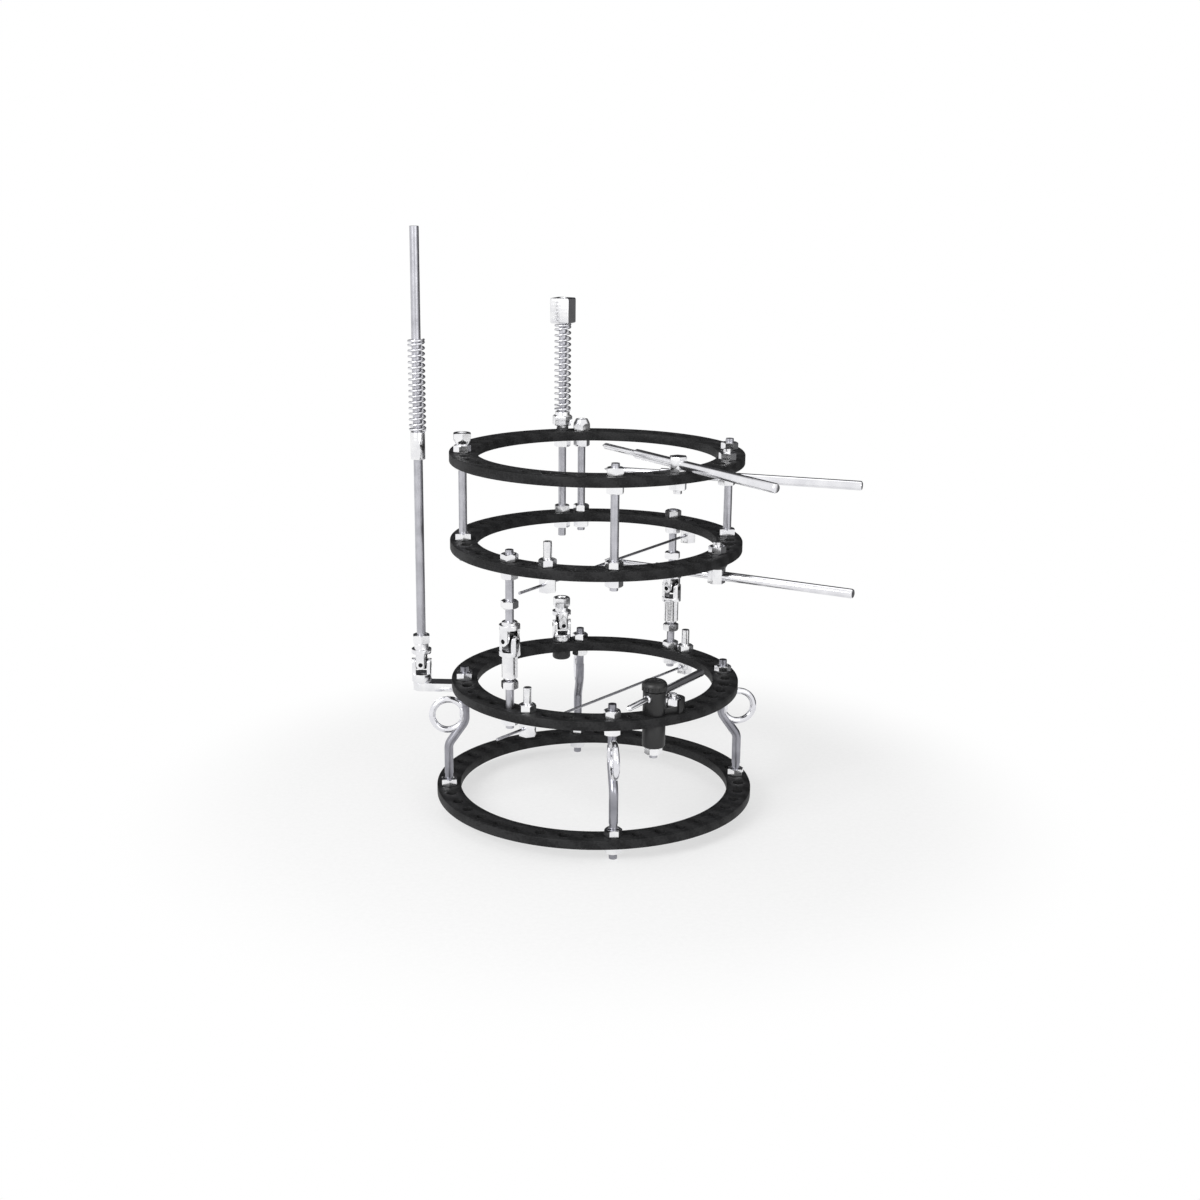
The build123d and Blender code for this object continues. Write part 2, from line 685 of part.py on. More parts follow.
# Black clamp on ring C: post and foot with a raised lip above, block below, bolt, knob and pin
clamp_axis = at_hole(clamp_hole_number, ring_c_top)
clamp_foot_place = at_hole(clamp_foot_hole_number, ring_c_top)
clamp_reach = clamp_foot_place.origin - clamp_axis.origin
clamp_across = Plane(origin=clamp_foot_place.origin, x_dir=clamp_reach.normalized(), z_dir=(0, 0, 1))
clamp_run = Vector(cos(radians(clamp_pin_turn)), sin(radians(clamp_pin_turn)), 0)
clamp_pin_seat = clamp_axis.origin + clamp_axis.z_dir * clamp_pin_height
clamp_neck_top = clamp_post_height + clamp_neck
with BuildPart() as clamp_upper_block:
    with BuildSketch(clamp_axis):
        Circle(clamp_post_r)
    extrude(amount=clamp_post_height)
    chamfer(clamp_upper_block.edges().sort_by(Axis.Z)[-1], length=clamp_edge)
    with BuildSketch(clamp_axis):
        Circle(clamp_neck_r)
    extrude(amount=clamp_neck_top)
    with BuildSketch(clamp_foot_place):
        Circle(clamp_foot_r)
    extrude(amount=clamp_foot_thick)
    with BuildSketch(Plane(origin=clamp_axis.origin + clamp_reach / 2, x_dir=clamp_reach.normalized(),
                           z_dir=(0, 0, 1))):
        Rectangle(clamp_reach.length, 2 * clamp_foot_r)
    extrude(amount=clamp_foot_thick)
    with BuildSketch(clamp_across):
        Circle(clamp_lip_r)
        with Locations((-clamp_lip_r, 0)):
            Rectangle(2 * clamp_lip_r, 2 * clamp_lip_r, mode=Mode.SUBTRACT)
    extrude(amount=clamp_foot_thick + clamp_lip_rise)
    with BuildSketch(clamp_across.offset(clamp_foot_thick)):
        Circle(clamp_lip_inner_r)
    extrude(amount=clamp_lip_rise + overrun, mode=Mode.SUBTRACT)
    with BuildSketch(clamp_foot_place.offset(-overrun)):
        Circle(bore_r)
    extrude(amount=clamp_foot_thick + 2 * overrun, mode=Mode.SUBTRACT)
    with BuildSketch(clamp_axis.offset(-overrun)):
        Circle(bore_r)
    extrude(amount=clamp_pin_height + overrun, mode=Mode.SUBTRACT)
    with BuildSketch(clamp_axis.offset(clamp_pin_height)):
        Circle(knob_stud_r + pivot_clear)
    extrude(amount=clamp_neck_top, mode=Mode.SUBTRACT)
    with BuildSketch(Plane(origin=clamp_pin_seat, x_dir=(0, 0, 1), z_dir=clamp_run)):
        Circle(clamp_pin_r + pin_clear)
    extrude(amount=clamp_post_r + overrun, both=True, mode=Mode.SUBTRACT)
save(clamp_upper_block, "clamp_upper_block")

lower_block_foot = ring_c_foot - clamp_lower_height
with BuildPart() as clamp_lower_block:
    with BuildSketch(at_hole(clamp_hole_number, lower_block_foot)):
        Circle(clamp_post_r)
        Circle(bore_r, mode=Mode.SUBTRACT)
    extrude(amount=clamp_lower_height)
    chamfer(clamp_lower_block.edges().group_by(Axis.Z)[0].sort_by(SortBy.RADIUS)[-1], length=clamp_edge)
save(clamp_lower_block, "clamp_lower_block")

clamp_bolt_foot = lower_block_foot - nut_height - stud_proud
clamp_bolt_top = ring_c_top + clamp_pin_height - clamp_pin_r - clamp_bolt_gap
clamp_bolt_seat = at_hole(clamp_hole_number, clamp_bolt_foot)
save(round_bar(clamp_bolt_seat, rod_r, clamp_bolt_top - clamp_bolt_foot), "clamp_bolt")
ring_c_nuts.append(hex_nut(at_hole(clamp_hole_number, lower_block_foot - nut_height)))

# The knob sits over the post's neck and its short stud presses on the pin
knob_seat = clamp_axis.offset(clamp_post_height + knob_gap)
stud_foot = clamp_axis.offset(clamp_pin_height + clamp_pin_r + knob_gap)
with BuildPart() as clamp_knob:
    with BuildSketch(knob_seat):
        Circle(knob_r)
    extrude(amount=knob_height)
    fillet(clamp_knob.edges().sort_by(Axis.Z)[-1], radius=knob_dome)
    with BuildSketch(knob_seat.offset(-overrun)):
        with PolarLocations(knob_r + knob_flute_r / 2, knob_flutes):
            Circle(knob_flute_r)
    extrude(amount=knob_height - knob_dome + overrun, mode=Mode.SUBTRACT)
    with BuildSketch(knob_seat.offset(-overrun)):
        Circle(clamp_neck_r + knob_gap)
    extrude(amount=clamp_neck + overrun, mode=Mode.SUBTRACT)
    with BuildSketch(stud_foot):
        Circle(knob_stud_r)
    extrude(amount=clamp_neck_top - clamp_pin_height - clamp_pin_r + knob_gap)
save(clamp_knob, "clamp_knob")

save(half_pin(clamp_pin_seat, clamp_run, clamp_pin_thread_side, clamp_pin_shank_side, clamp_pin_r,
              clamp_pin_tip_r, clamp_pin_tip_length), "half_pin_c")

# Nut groups, one for each ring
save(group(ring_a_nuts), "ring_a_nuts")
save(group(ring_b_nuts), "ring_b_nuts")
save(group(ring_c_nuts), "ring_c_nuts")
save(group(base_ring_nuts), "base_ring_nuts")
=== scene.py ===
"""Looks of the circular external fixator: finishes, threads, nuts, springs, camera and light."""
import json
import math

import bmesh
import bpy
import numpy as np
from mathutils import Matrix, Vector


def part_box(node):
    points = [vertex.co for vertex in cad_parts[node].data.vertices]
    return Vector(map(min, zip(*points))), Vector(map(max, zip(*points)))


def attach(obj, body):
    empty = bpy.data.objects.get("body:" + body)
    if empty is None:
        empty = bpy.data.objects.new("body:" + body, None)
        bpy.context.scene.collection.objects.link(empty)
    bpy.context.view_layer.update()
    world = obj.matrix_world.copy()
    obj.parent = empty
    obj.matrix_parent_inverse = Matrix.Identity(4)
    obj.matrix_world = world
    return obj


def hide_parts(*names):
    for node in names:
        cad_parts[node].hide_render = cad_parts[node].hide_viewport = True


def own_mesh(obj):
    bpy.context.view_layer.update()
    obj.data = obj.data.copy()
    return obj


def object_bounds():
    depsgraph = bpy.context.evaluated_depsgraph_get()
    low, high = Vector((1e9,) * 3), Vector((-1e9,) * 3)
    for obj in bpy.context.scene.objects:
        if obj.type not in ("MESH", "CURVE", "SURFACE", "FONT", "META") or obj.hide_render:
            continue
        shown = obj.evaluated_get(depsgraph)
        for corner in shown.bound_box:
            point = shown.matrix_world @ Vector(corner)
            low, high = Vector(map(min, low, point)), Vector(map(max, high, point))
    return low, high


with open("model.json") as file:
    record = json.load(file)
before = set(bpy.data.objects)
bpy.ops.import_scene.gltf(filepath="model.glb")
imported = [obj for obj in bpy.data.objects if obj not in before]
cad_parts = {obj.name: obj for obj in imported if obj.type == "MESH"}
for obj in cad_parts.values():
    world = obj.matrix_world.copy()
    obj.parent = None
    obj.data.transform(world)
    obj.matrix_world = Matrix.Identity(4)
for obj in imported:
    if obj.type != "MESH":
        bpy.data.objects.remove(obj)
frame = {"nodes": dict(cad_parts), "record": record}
cad_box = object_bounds()
nodes = frame["nodes"]
record = frame["record"]
body_of = {node: body for body, held in record["behaviour"]["bodies"].items() for node in held}
mm = 0.001

# Rings
hole_count = 40
hole_r = 3.5 * mm
ring_edge = 0.5 * mm
ring_widths = {"ring_a": 17.4 * mm, "ring_b": 17.4 * mm, "ring_c": 17.4 * mm, "base_ring": 16.3 * mm}

# Threads and nuts. The ridge that is wound round a thread has a radius that is a share of its pitch.
rod_r = 3.0 * mm
rod_pitch = 1.0 * mm
rod_depth = 0.42 * mm
ridge_share = 0.56
strut_rod_r = 3.3 * mm
nut_bore_r = 3.0 * mm
nut_bore_sink = 0.45 * mm
nut_flats = 10.0 * mm
nut_height = 5.0 * mm
nut_face_share = 0.95
nut_corner_angle = 30
nut_seed = 7
strut_nut_flats = 11.0 * mm
cone_nut_flats = 11.2 * mm
cone_nut_height = 8.0 * mm
cone_nut_foot_r = 4.2 * mm
cone_nut_slope = 2.0
cone_nut_slack = 0.8 * mm

# Bolts: points beyond this share of the shank's radius are the head's, and a stub of the plain
# shank stays at the seat
bolt_head_share = 1.1
shank_stub = 0.1 * mm

# Rounded edges of the machined pieces
fork_edge = 0.35 * mm
small_edge = 0.3 * mm
set_screw_edge = 0.15 * mm
wire_edge = 0.1 * mm

# Offset rods: the thread stops short of the bends, and the eye is a round bar welded to the rod.
# The first five are heights and a radius of the bent middle. The weld beads' places are shares of
# the rod's radius, outwards and to each side.
bend_top = 52.0 * mm
bend_foot = 36.0 * mm
bend_r = 9.0 * mm
plain_top = 63.0 * mm
plain_foot = 15.0 * mm
eye_drop = 18.5 * mm
eye_inner_r = 8.5 * mm
eye_bar_r = 2.25 * mm
weld_size = (1.5 * mm, 1.3 * mm, 5.5 * mm)
weld_outwards = 0.75
weld_aside = 0.72
eye_corners = 72

# Springs
spring_wire_r = 0.8 * mm
spring_turns = {"cap_spring": 16, "strut_spring": 17}
spring_mean_r = {"cap_spring": 5.1 * mm, "strut_spring": 4.9 * mm}

# Half pins: cutting thread along the thin end, plain ground shank. The wound thread is a little
# deeper than the pin's, so that its core stays inside.
pin_point = 4.0 * mm
pin_pitch = 1.75 * mm
pin_depth = 0.45 * mm
pin_wound_depth = 1.05 * pin_depth
pin_end_bevel = 1.2 * mm
pin_end_round = 0.36 * mm
pin_end_slack = 0.01 * mm
pin_step = 0.1 * mm

# White floor in metres, small enough that the upper parts mirror the studio and not the floor
floor_r = 0.36
floor_fade = (0.2, 0.34)
floor_drop = 0.2 * mm
floor_lift = 0.6

# Light: the lamps stand round the object's middle. The two dark cards of the studio are given by
# their heading from the camera's, elevation, spread and softness in degrees.
object_middle = Vector((0, 0, 0.19))
lamp_distance = 1.6
right_card = (-56, -12, 44, 14)
right_card_share = 0.93
back_card = (0, 30, 42, 10)
even_light = 0.45

# Camera, worked out from the ellipses of the rings in the 1200 pixel photograph
camera_place = Vector((-135.06, -1064.5, 417.74)) * mm
camera_heading = 82.615
camera_pitch = 14.757
camera_roll = 0.616
camera_lens = 49.357
camera_sensor = 36


def linear(hex_colour):
    """sRGB hex colour as linear red, green, blue and alpha."""
    values = [int(hex_colour[i:i + 2], 16) / 255 for i in (1, 3, 5)]
    return [v / 12.92 if v <= 0.04045 else ((v + 0.055) / 1.055) ** 2.4 for v in values] + [1.0]


def add_node(tree, kind, settings=None, links=None, values=None):
    """Adds a node, sets its properties, links sockets into its inputs and sets the other inputs."""
    node = tree.nodes.new(kind)
    for name, value in (settings or {}).items():
        setattr(node, name, value)
    for name, value in (values or {}).items():
        node.inputs[name].default_value = value
    for name, socket in (links or {}).items():
        tree.links.new(socket, node.inputs[name])
    return node


# Materials

def new_material(name):
    """Empty node material with its tree, its shader and the object coordinates."""
    material = bpy.data.materials.new(name)
    material.use_nodes = True
    tree = material.node_tree
    place = add_node(tree, "ShaderNodeTexCoord").outputs["Object"]
    return material, tree, tree.nodes["Principled BSDF"], place


def mottle(tree, place, size, detail=2.0):
    """Noise whose blotches are about the given size in metres."""
    return add_node(tree, "ShaderNodeTexNoise", links={"Vector": place},
                    values={"Scale": 1 / size, "Detail": detail}).outputs["Fac"]


def colour_range(tree, factor, low, high, colours):
    """Colour ramp between two factors."""
    ramp = add_node(tree, "ShaderNodeValToRGB", links={"Fac": factor})
    ramp.color_ramp.elements[0].position = low
    ramp.color_ramp.elements[1].position = high
    for element, colour in zip(ramp.color_ramp.elements, colours):
        element.color = linear(colour)
    return ramp.outputs["Color"]


def number_range(tree, factor, low, high):
    """Factor from 0 to 1 mapped to a range."""
    return add_node(tree, "ShaderNodeMapRange", links={"Value": factor},
                    values={"To Min": low, "To Max": high}).outputs["Result"]


def bump(tree, shader, height, depth):
    """Bump whose full height is the given depth in metres."""
    node = add_node(tree, "ShaderNodeBump", links={"Height": height}, values={"Distance": depth})
    tree.links.new(node.outputs["Normal"], shader.inputs["Normal"])


def carbon_laminate():
    """Pressed carbon-fibre laminate, satin: nearly black, with faint lighter tows and plies at the
    edge. A tow is too narrow to show, so the bands are drawn about nine tows apart."""
    material, tree, shader, place = new_material("carbon_fibre_laminate")
    tow = 1.6 * mm
    ply = 0.3 * mm
    split = add_node(tree, "ShaderNodeSeparateXYZ", links={"Vector": place})
    twill = add_node(tree, "ShaderNodeTexWave", {"bands_direction": "DIAGONAL"}, {"Vector": place},
                     {"Scale": 1 / (20 * tow), "Distortion": 3.0, "Detail": 2.0,
                      "Detail Scale": 14.0})
    plies = add_node(tree, "ShaderNodeTexNoise", {"noise_dimensions": "1D"},
                     {"W": split.outputs["Z"]}, {"Scale": 1 / ply, "Detail": 0.0})
    grain = mottle(tree, place, 0.9 * mm)
    with_twill = add_node(tree, "ShaderNodeMath", {"operation": "MULTIPLY_ADD"},
                          {0: twill.outputs["Fac"], 2: grain}, {1: 0.35})
    whole = add_node(tree, "ShaderNodeMath", {"operation": "MULTIPLY_ADD"},
                     {0: plies.outputs["Fac"], 2: with_twill.outputs["Value"]}, {1: 0.25})
    colour = colour_range(tree, whole.outputs["Value"], 0.55, 1.15, ("#151516", "#2d2d2e"))
    tree.links.new(colour, shader.inputs["Base Color"])
    tree.links.new(number_range(tree, grain, 0.48, 0.66), shader.inputs["Roughness"])
    shader.inputs["Specular IOR Level"].default_value = 0.17
    bump(tree, shader, whole.outputs["Value"], 0.02 * mm)
    return material


def black_anodised():
    """Turned aluminium, black anodised: even satin black with a very fine grain."""
    material, tree, shader, place = new_material("black_anodised_aluminium")
    grain = mottle(tree, place, 0.35 * mm)
    colour = colour_range(tree, grain, 0.3, 0.7, ("#131314", "#222223"))
    tree.links.new(colour, shader.inputs["Base Color"])
    tree.links.new(number_range(tree, grain, 0.36, 0.5), shader.inputs["Roughness"])
    bump(tree, shader, grain, 0.01 * mm)
    return material


def steel(name, colours, roughness, grain_size, grain_depth):
    """Stainless steel, rolled, drawn, ground or polished: its colour wanders a little, and the way
    it was made leaves a fine grain."""
    material, tree, shader, place = new_material(name)
    grain = mottle(tree, place, grain_size)
    smear = mottle(tree, place, 9 * mm, 3.0)
    tree.links.new(colour_range(tree, smear, 0.35, 0.65, colours), shader.inputs["Base Color"])
    tree.links.new(number_range(tree, grain, *roughness), shader.inputs["Roughness"])
    shader.inputs["Metallic"].default_value = 1.0
    bump(tree, shader, grain, grain_depth)
    return material


def black_oxide():
    """Hardened steel block with a black oxide skin: almost black, with a dull metal shine."""
    material, tree, shader, place = new_material("black_oxide_steel")
    grain = mottle(tree, place, 0.5 * mm)
    colour = colour_range(tree, grain, 0.3, 0.7, ("#161617", "#29292b"))
    tree.links.new(colour, shader.inputs["Base Color"])
    tree.links.new(number_range(tree, grain, 0.34, 0.5), shader.inputs["Roughness"])
    shader.inputs["Metallic"].default_value = 1.0
    bump(tree, shader, grain, 0.008 * mm)
    return material


def turned_steel(name, colours, roughness, groove):
    """Stainless steel turned on a lathe, with faint rings along Z about six grooves apart."""
    material, tree, shader, place = new_material(name)
    smear = mottle(tree, place, 7 * mm, 3.0)
    cuts = add_node(tree, "ShaderNodeTexWave", {"bands_direction": "Z"}, {"Vector": place},
                    {"Scale": 1 / (20 * groove), "Distortion": 0.6}).outputs["Fac"]
    tree.links.new(colour_range(tree, smear, 0.35, 0.65, colours), shader.inputs["Base Color"])
    tree.links.new(number_range(tree, cuts, *roughness), shader.inputs["Roughness"])
    shader.inputs["Metallic"].default_value = 1.0
    bump(tree, shader, cuts, 0.002 * mm)
    return material


carbon = carbon_laminate()
anodised = black_anodised()
oxide = black_oxide()
# Rolled threads and drawn bar are greyer and duller than ground, turned and polished steel
rod_steel = steel("rolled_stainless_thread", ("#b2b2b8", "#c4c4ca"), (0.26, 0.4),
                  0.4 * mm, 0.008 * mm)
bar_steel = steel("drawn_stainless_bar", ("#8b8b92", "#a0a0a7"), (0.24, 0.38),
                  0.5 * mm, 0.006 * mm)
nut_steel = steel("bright_stainless_nut", ("#ececef", "#f6f6f7"), (0.1, 0.2),
                  0.6 * mm, 0.002 * mm)
fork_steel = turned_steel("turned_stainless_fork", ("#e6e6e9", "#f4f4f5"), (0.14, 0.24), 0.4 * mm)
pin_steel = steel("ground_stainless_pin", ("#e2e2e6", "#f0f0f3"), (0.12, 0.2),
                  0.25 * mm, 0.0015 * mm)
eye_steel = steel("polished_stainless_eye", ("#e0e0e5", "#eeeef2"), (0.14, 0.24),
                  0.5 * mm, 0.003 * mm)
wire_steel = steel("drawn_stainless_wire", ("#a6a6ac", "#bababf"), (0.2, 0.32),
                   0.2 * mm, 0.003 * mm)
spring_steel = steel("drawn_spring_wire", ("#ceced3", "#dedee2"), (0.24, 0.36),
                     0.25 * mm, 0.002 * mm)


# Geometry node trees

class Tree:
    """Geometry node tree with named inputs, ending in Realize Instances and Set Material."""

    def __init__(self, name, **inputs):
        self.tree = bpy.data.node_groups.new(name, "GeometryNodeTree")
        self.names = {}
        for label, kind in {"Geometry": "Geometry", **inputs, "Material": "Material"}.items():
            label = label.replace("_", " ")
            socket = self.tree.interface.new_socket(label, in_out="INPUT",
                                                    socket_type=f"NodeSocket{kind}")
            self.names[label] = socket.identifier
        self.tree.interface.new_socket("Geometry", in_out="OUTPUT",
                                       socket_type="NodeSocketGeometry")
        self.given = self.tree.nodes.new("NodeGroupInput").outputs

    def add(self, kind, settings=None, links=None, values=None):
        """A node's outputs."""
        return add_node(self.tree, kind, settings, links, values).outputs

    def maths(self, operation, *terms):
        """Arithmetic on sockets and numbers."""
        links = {i: term for i, term in enumerate(terms) if not isinstance(term, (int, float))}
        values = {i: term for i, term in enumerate(terms) if isinstance(term, (int, float))}
        return self.add("ShaderNodeMath", {"operation": operation}, links, values)["Value"]

    def join(self, *geometries):
        node = self.tree.nodes.new("GeometryNodeJoinGeometry")
        for geometry in geometries:
            self.tree.links.new(geometry, node.inputs["Geometry"])
        return node.outputs["Geometry"]

    def lift(self, geometry, height):
        """Geometry moved up along Z."""
        rise = self.add("ShaderNodeCombineXYZ", links={"Z": height})["Vector"]
        return self.add("GeometryNodeTransform",
                        links={"Geometry": geometry, "Translation": rise})["Geometry"]

    def finish(self, geometry):
        real = self.add("GeometryNodeRealizeInstances", links={"Geometry": geometry})["Geometry"]
        painted = self.add("GeometryNodeSetMaterial",
                           links={"Geometry": real, "Material": self.given["Material"]})
        group_output = self.tree.nodes.new("NodeGroupOutput")
        self.tree.links.new(painted["Geometry"], group_output.inputs["Geometry"])
        return self

    def grow(self, base=None, **values):
        """Runs the tree on an object with the base mesh and returns the plain mesh that it gives."""
        holder = bpy.data.objects.new("holder", base or bpy.data.meshes.new("holder"))
        bpy.context.scene.collection.objects.link(holder)
        modifier = holder.modifiers.new("tree", "NODES")
        modifier.node_group = self.tree
        for label, value in values.items():
            modifier[self.names[label.replace("_", " ")]] = value
        return settled(holder)


def settled(holder):
    """Plain mesh of an object with its modifiers applied; the object goes."""
    bpy.context.view_layer.update()
    seen = holder.evaluated_get(bpy.context.evaluated_depsgraph_get())
    mesh = bpy.data.meshes.new_from_object(seen)
    bpy.data.objects.remove(holder)
    return mesh


def ring_tree():
    """Flat ring with a circle of holes: circles filled, then given their thickness."""
    ring = Tree("drilled_ring", Inner_Radius="Float", Outer_Radius="Float", Thickness="Float",
                Hole_Radius="Float", Hole_Count="Int", Foot="Float")
    given = ring.given
    rims = [ring.add("GeometryNodeCurvePrimitiveCircle", links={"Radius": given[name]},
                     values={"Resolution": 6 * hole_count})["Curve"]
            for name in ("Inner Radius", "Outer Radius")]
    both_r = ring.maths("ADD", given["Inner Radius"], given["Outer Radius"])
    middle_r = ring.maths("MULTIPLY", both_r, 0.5)
    seats = ring.add("GeometryNodeMeshCircle",
                     links={"Vertices": given["Hole Count"], "Radius": middle_r})["Mesh"]
    hole = ring.add("GeometryNodeCurvePrimitiveCircle", links={"Radius": given["Hole Radius"]},
                    values={"Resolution": 32})["Curve"]
    holes = ring.add("GeometryNodeInstanceOnPoints",
                     links={"Points": seats, "Instance": hole})["Instances"]
    drilled = ring.add("GeometryNodeRealizeInstances", links={"Geometry": holes})["Geometry"]
    flat = ring.add("GeometryNodeFillCurve", links={"Curve": ring.join(*rims, drilled)})["Mesh"]
    rise = ring.add("ShaderNodeCombineXYZ", links={"Z": given["Thickness"]})["Vector"]
    walls = ring.add("GeometryNodeExtrudeMesh", links={"Mesh": flat, "Offset": rise},
                     values={"Offset Scale": 1.0, "Individual": False})["Mesh"]
    under = ring.add("GeometryNodeFlipFaces", links={"Mesh": flat})["Mesh"]
    closed = ring.add("GeometryNodeMergeByDistance", links={"Geometry": ring.join(walls, under)},
                      values={"Distance": 0.001 * mm})["Geometry"]
    return ring.finish(ring.lift(closed, given["Foot"]))


def thread_tree():
    """Screw thread: a core and a triangular ridge wound round it, both running up Z."""
    screw = Tree("screw_thread", Length="Float", Radius="Float", Pitch="Float", Depth="Float",
                 Steps="Int")
    given = screw.given
    core_r = screw.maths("SUBTRACT", given["Radius"], given["Depth"])
    core = screw.add("GeometryNodeMeshCylinder", links={
        "Vertices": given["Steps"], "Radius": core_r, "Depth": given["Length"]})["Mesh"]
    stood = screw.lift(core, screw.maths("MULTIPLY", given["Length"], 0.5))
    ridge_r = screw.maths("MULTIPLY", given["Pitch"], ridge_share)
    wound_r = screw.maths("SUBTRACT", given["Radius"], ridge_r)
    run = screw.maths("SUBTRACT", given["Length"], given["Pitch"])
    helix = screw.add("GeometryNodeCurveSpiral", links={
        "Resolution": given["Steps"], "Rotations": screw.maths("DIVIDE", run, given["Pitch"]),
        "Start Radius": wound_r, "End Radius": wound_r, "Height": run})["Curve"]
    level = screw.add("GeometryNodeSetCurveNormal", {"mode": "Z_UP"}, {"Curve": helix})["Curve"]
    ridge = screw.add("GeometryNodeCurvePrimitiveCircle", links={"Radius": ridge_r},
                      values={"Resolution": 3})["Curve"]
    wound = screw.add("GeometryNodeCurveToMesh", links={"Curve": level, "Profile Curve": ridge},
                      values={"Fill Caps": True})["Mesh"]
    raised = screw.lift(wound, screw.maths("MULTIPLY", given["Pitch"], 0.5))
    return screw.finish(screw.join(stood, raised))


def spring_tree():
    """Coil spring up Z, its first and last turns closed on the next."""
    spring = Tree("coil_spring", Height="Float", Mean_Radius="Float", Wire_Radius="Float",
                  Turns="Int", Steps="Int")
    given = spring.given
    count = spring.maths("MULTIPLY", given["Turns"], given["Steps"])
    line = spring.add("GeometryNodeCurvePrimitiveLine")["Curve"]
    fine = spring.add("GeometryNodeResampleCurve", links={"Curve": line, "Count": count})["Curve"]
    along_line = spring.add("GeometryNodeSplineParameter")["Factor"]
    turn = spring.maths("MULTIPLY", along_line, given["Turns"])
    angle = spring.maths("MULTIPLY", turn, math.tau)
    wire = spring.maths("MULTIPLY", given["Wire Radius"], 2.0)
    last = spring.maths("SUBTRACT", given["Turns"], 1.0)
    stretch = spring.maths("SUBTRACT", given["Height"], spring.maths("MULTIPLY", wire, 3.0))
    first_rise = spring.add("ShaderNodeMapRange", links={"Value": turn, "To Max": wire})["Result"]
    main_rise = spring.add("ShaderNodeMapRange", values={"From Min": 1.0}, links={
        "Value": turn, "From Max": last, "To Max": stretch})["Result"]
    last_rise = spring.add("ShaderNodeMapRange", links={
        "Value": turn, "From Min": last, "From Max": given["Turns"], "To Max": wire})["Result"]
    rise = spring.maths("ADD", spring.maths("ADD", first_rise, main_rise), last_rise)
    place = spring.add("ShaderNodeCombineXYZ", links={
        "X": spring.maths("MULTIPLY", spring.maths("COSINE", angle), given["Mean Radius"]),
        "Y": spring.maths("MULTIPLY", spring.maths("SINE", angle), given["Mean Radius"]),
        "Z": spring.maths("ADD", rise, given["Wire Radius"])})["Vector"]
    coiled = spring.add("GeometryNodeSetPosition",
                        links={"Geometry": fine, "Position": place})["Geometry"]
    level = spring.add("GeometryNodeSetCurveNormal", {"mode": "Z_UP"}, {"Curve": coiled})["Curve"]
    section = spring.add("GeometryNodeCurvePrimitiveCircle", links={"Radius": given["Wire Radius"]},
                         values={"Resolution": 12})["Curve"]
    wound = spring.add("GeometryNodeCurveToMesh", links={"Curve": level, "Profile Curve": section},
                       values={"Fill Caps": True})["Mesh"]
    return spring.finish(wound)


def bar_tree():
    """Round bar along the base mesh's line of edges, its corners bent to a radius."""
    bar = Tree("bent_bar", Bar_Radius="Float", Bend_Radius="Float", Steps="Int")
    given = bar.given
    line = bar.add("GeometryNodeMeshToCurve", links={"Mesh": given["Geometry"]})["Curve"]
    bent = bar.add("GeometryNodeFilletCurve", {"mode": "POLY"},
                   {"Curve": line, "Radius": given["Bend Radius"]}, {"Count": 12})["Curve"]
    section = bar.add("GeometryNodeCurvePrimitiveCircle", None,
                      {"Resolution": given["Steps"], "Radius": given["Bar Radius"]})["Curve"]
    whole = bar.add("GeometryNodeCurveToMesh", links={"Curve": bent, "Profile Curve": section},
                    values={"Fill Caps": True})["Mesh"]
    return bar.finish(whole)


def nuts_tree():
    """The same nut on every point of the base mesh, each turned by a random angle."""
    nuts = Tree("nuts_on_seats", Nut="Object", Seed="Int")
    given = nuts.given
    nut = nuts.add("GeometryNodeObjectInfo", links={"Object": given["Nut"]})["Geometry"]
    turn = nuts.add("FunctionNodeRandomValue", {"data_type": "FLOAT"}, {"Seed": given["Seed"]},
                    {2: 0.0, 3: math.tau})[1]
    rotation = nuts.add("ShaderNodeCombineXYZ", links={"Z": turn})["Vector"]
    placed = nuts.add("GeometryNodeInstanceOnPoints", links={
        "Points": given["Geometry"], "Instance": nut, "Rotation": rotation})["Instances"]
    return nuts.finish(placed)


rings = ring_tree()
threads = thread_tree()
springs = spring_tree()
bars = bar_tree()
nuts = nuts_tree()


# Mesh helpers

def mesh_of(solid, name="solid"):
    """Plain mesh from a bmesh, which goes."""
    mesh = bpy.data.meshes.new(name)
    solid.to_mesh(mesh)
    solid.free()
    return mesh


def piece_from(name, meshes, material, *replaced, sharp=35.0):
    """Piece of one material made of one or more meshes, smooth but for edges above the sharp angle.
    It rides with the nodes that it replaces."""
    whole = bmesh.new()
    for mesh in meshes:
        whole.from_mesh(mesh)
    mesh = mesh_of(whole, name)
    mesh.materials.clear()
    mesh.materials.append(material)
    mesh.polygons.foreach_set("material_index", [0] * len(mesh.polygons))
    mesh.polygons.foreach_set("use_smooth", [True] * len(mesh.polygons))
    mesh.set_sharp_from_angle(angle=math.radians(sharp))
    piece = bpy.data.objects.new(name, mesh)
    bpy.context.scene.collection.objects.link(piece)
    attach(piece, body_of[replaced[0]])
    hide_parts(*replaced)
    return piece


def merged_copy(node):
    """Bmesh copy of a CAD node, its loose triangles merged and its flat faces made whole."""
    solid = bmesh.new()
    solid.from_mesh(nodes[node].data)
    bmesh.ops.remove_doubles(solid, verts=solid.verts, dist=0.01 * mm)
    bmesh.ops.dissolve_limit(solid, angle_limit=math.radians(1), verts=solid.verts,
                             edges=solid.edges)
    return solid


def rounded(mesh, edge, corner=30.0):
    """Mesh with its edges above the corner angle rounded."""
    holder = bpy.data.objects.new("rounded", mesh)
    bpy.context.scene.collection.objects.link(holder)
    modifier = holder.modifiers.new("edge", "BEVEL")
    modifier.width = edge
    modifier.segments = 2
    modifier.limit_method = "ANGLE"
    modifier.angle_limit = math.radians(corner)
    return settled(holder)


